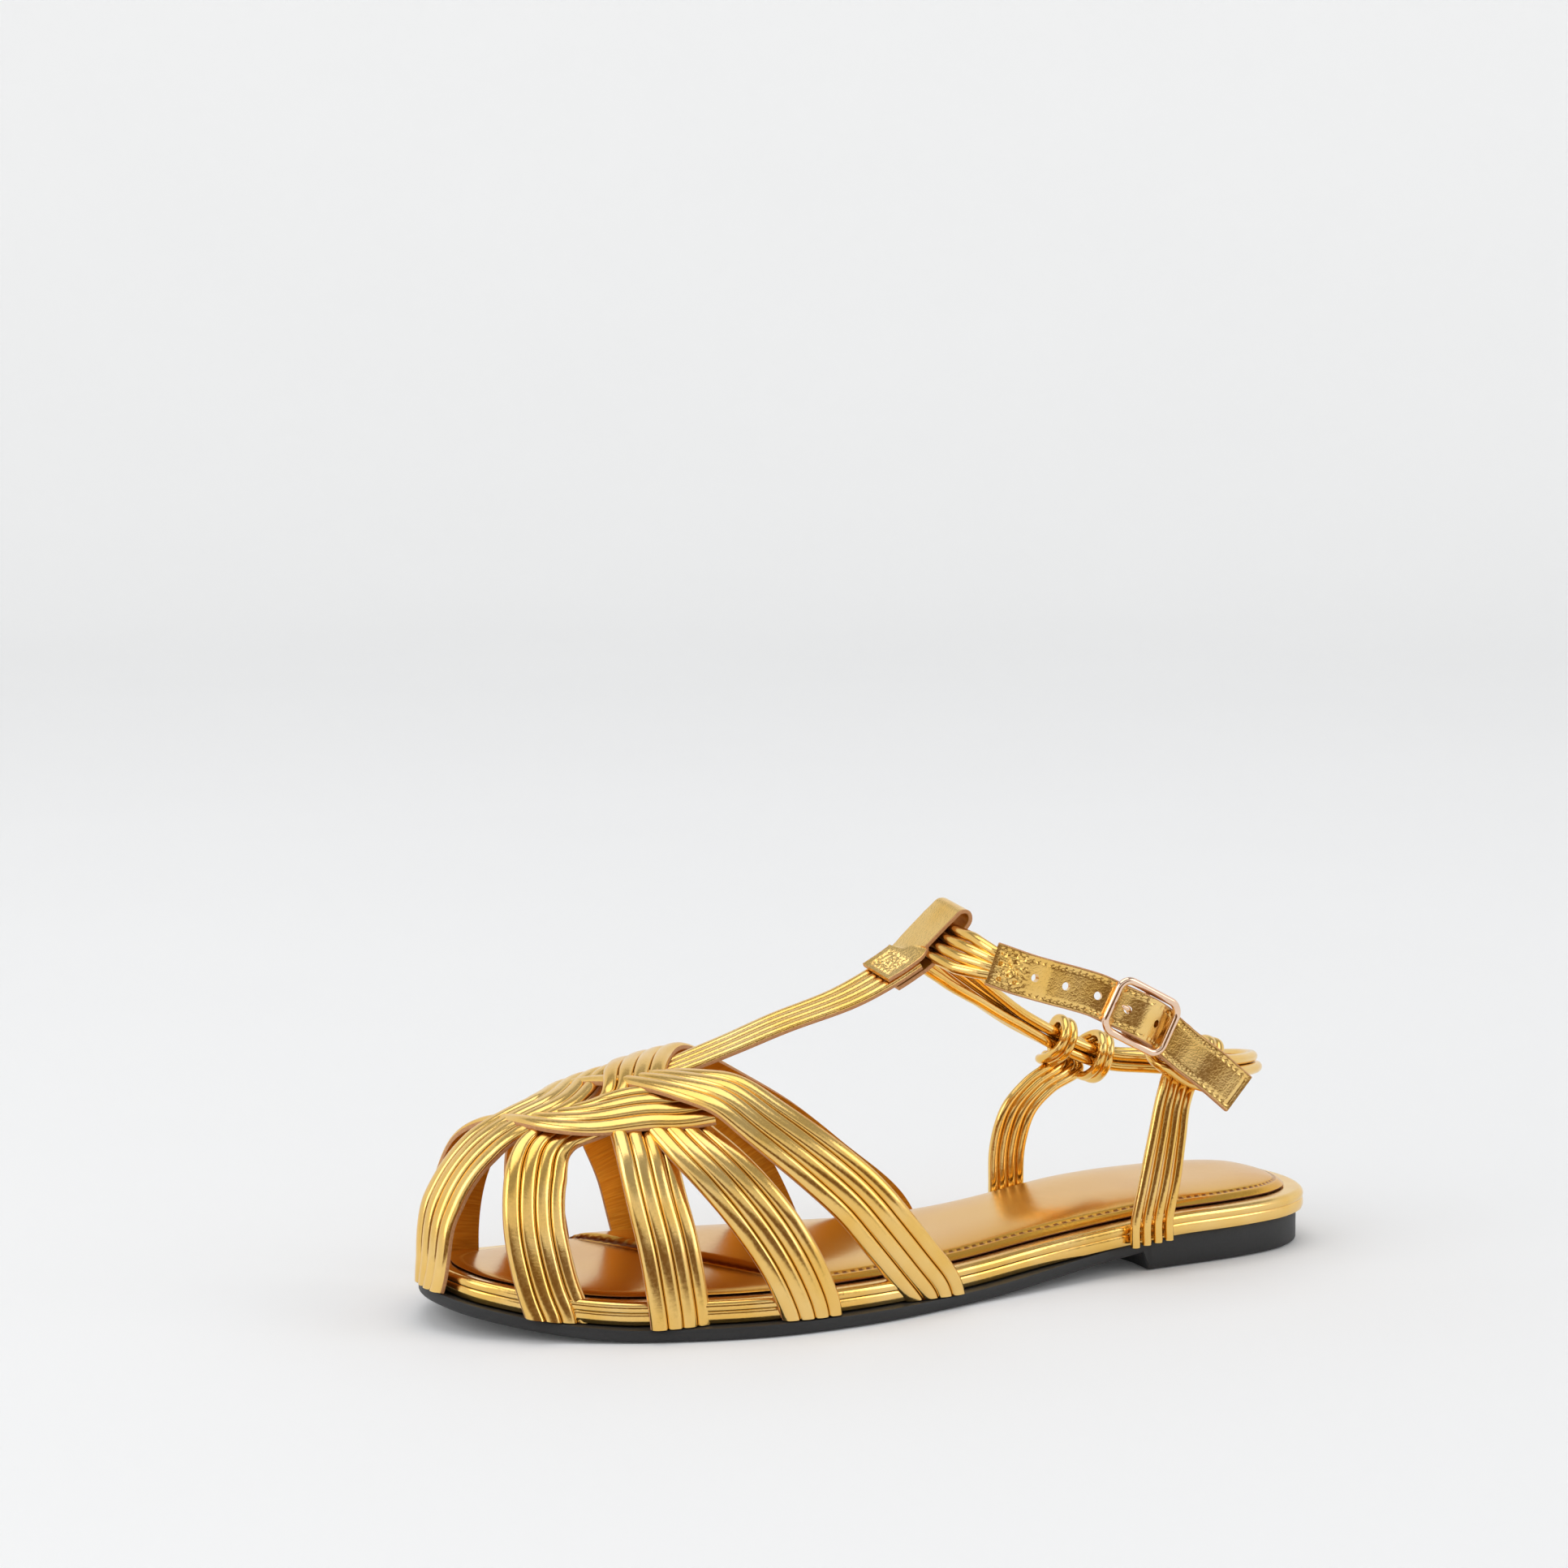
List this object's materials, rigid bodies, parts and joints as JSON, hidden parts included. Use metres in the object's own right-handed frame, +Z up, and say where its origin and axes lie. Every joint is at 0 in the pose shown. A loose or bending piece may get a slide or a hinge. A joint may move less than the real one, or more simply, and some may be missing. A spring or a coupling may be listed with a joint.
{
  "type": "gladiator sandal",
  "caption": "Flat sandal with a woven cage of ribbed bands over the forefoot, a low heel, an instep strap and buckled ankle cords held by two stays.",
  "frame": {"origin": "on the heel's flat ground face, 30 mm in front of the back of the heel, on the shoe's long axis", "axes": "+X along the sole to the toe, +Y to the outer side of the left foot, +Z up"},
  "size_m": [0.2548, 0.0931, 0.0986],
  "materials": {
    "rubber": "moulded black rubber, satin",
    "foil": "gold foiled leather, mirror-like with fine creases",
    "footbed": "smooth gold footbed leather, glossy",
    "hardware": "polished pale rose gold plating"
  },
  "bodies": {
    "root": {"outsole": "rubber", "midsole": "foil", "insole": "footbed", "upper": "foil", "instep_loop": "foil", "ankle_cords": "foil", "lateral_stay": "foil", "medial_stay": "foil", "billet": "foil", "buckle_strap": "foil", "buckle_frame": "hardware", "buckle_prong": "hardware"}
  },
  "joints": []
}
